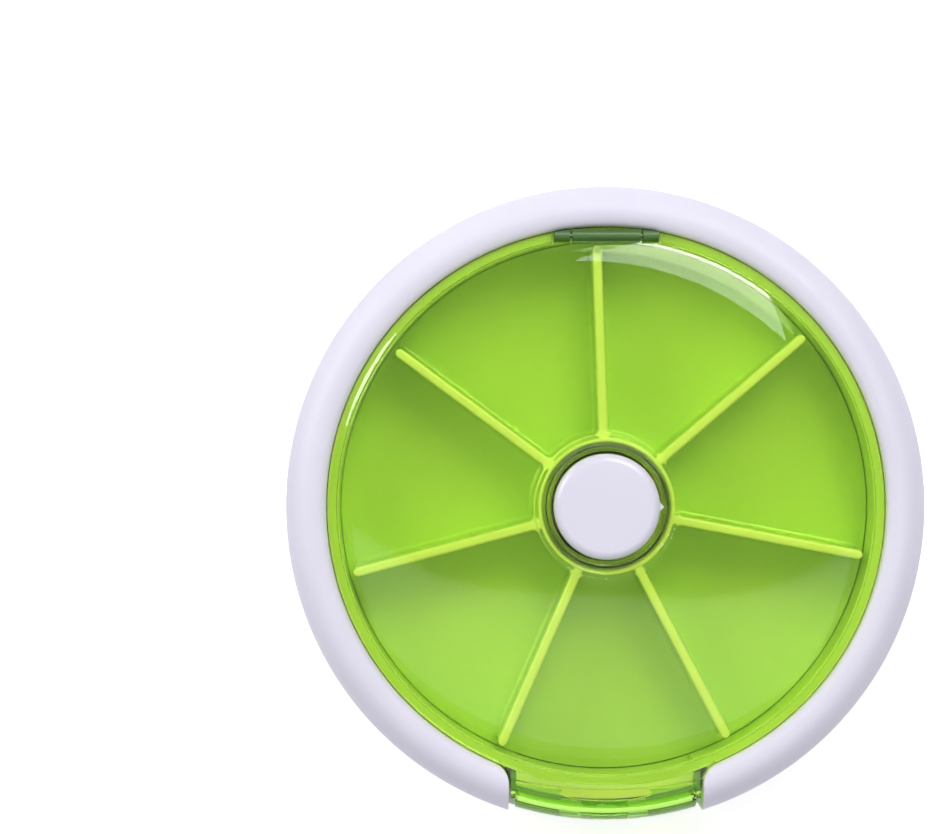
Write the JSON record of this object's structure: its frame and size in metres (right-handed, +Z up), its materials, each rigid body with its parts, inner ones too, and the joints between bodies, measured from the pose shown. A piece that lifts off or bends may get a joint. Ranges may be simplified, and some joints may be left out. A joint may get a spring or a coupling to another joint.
{
  "type": "rotating pill organizer",
  "caption": "Round push-button pill organizer: a white case with a clear green hinged lid over a compartment wheel that the button turns step by step, and a small dispensing door in the rim.",
  "frame": {"origin": "centre of the round face that the case rests on", "axes": "+Z up through the push button; +Y towards the lid's hinge, -Y towards the dispensing door; +X to the right, seen from above with the door at the bottom"},
  "size_m": [0.09, 0.09, 0.0192],
  "materials": {
    "white_plastic": "smooth satin white with a cool tint",
    "white_nylon": "plain moulded white, inside the hub",
    "green_plastic": "translucent lime green",
    "clear_green": "clear lime green, polished",
    "steel": "bright wire and screws"
  },
  "bodies": {
    "case": {"base_shell": "white_plastic", "top_ring": "white_plastic", "well_liner": "green_plastic", "outlet_chute": "green_plastic", "lid_hinge_pin": "steel", "door_hinge_pin": "steel", "centre_spindle": "white_nylon", "spindle_screw": "steel", "case_screw_1": "steel", "case_screw_2": "steel", "case_screw_3": "steel", "detent_leaf": "steel", "detent_rivet": "steel", "return_spring": "steel"},
    "lid": {"lid": "clear_green"},
    "door": {"dispensing_door": "clear_green"},
    "wheel": {"pill_tray": "green_plastic", "ratchet_ring": "green_plastic"},
    "button": {"push_button": "white_plastic", "cam_plunger": "white_nylon"},
    "drive": {"drive_collar": "white_nylon", "pawl_wheel": "white_nylon"}
  },
  "joints": [
    {"name": "lid_hinge", "type": "hinge", "parent": "case", "child": "lid", "pos_m": [0, 0.03785, 0.016], "axis": [-1, 0, 0], "range_deg": [0, 100]},
    {"name": "door_hinge", "type": "hinge", "parent": "case", "child": "door", "pos_m": [0, -0.0434, 0.0034], "axis": [1, 0, 0], "range_deg": [0, 90]},
    {"name": "wheel_spin", "type": "hinge", "parent": "case", "child": "wheel", "pos_m": [0, 0, 0.0032], "axis": [0, 0, 1], "continuous": true},
    {"name": "button_press", "type": "slide", "parent": "case", "child": "button", "axis": [0, 0, -1], "range_m": [0, 0.003], "stiffness_N_per_m": 150, "springref_m": -0.001, "deforming": ["return_spring"]},
    {"name": "drive_turn", "type": "hinge", "parent": "case", "child": "drive", "pos_m": [0, 0, 0.0019], "axis": [0, 0, 1], "range_deg": [0, 51.5]}
  ],
  "couplings": [
    {"joint": "drive_turn", "follows": "button_press", "rad_per_m": 299.2}
  ]
}
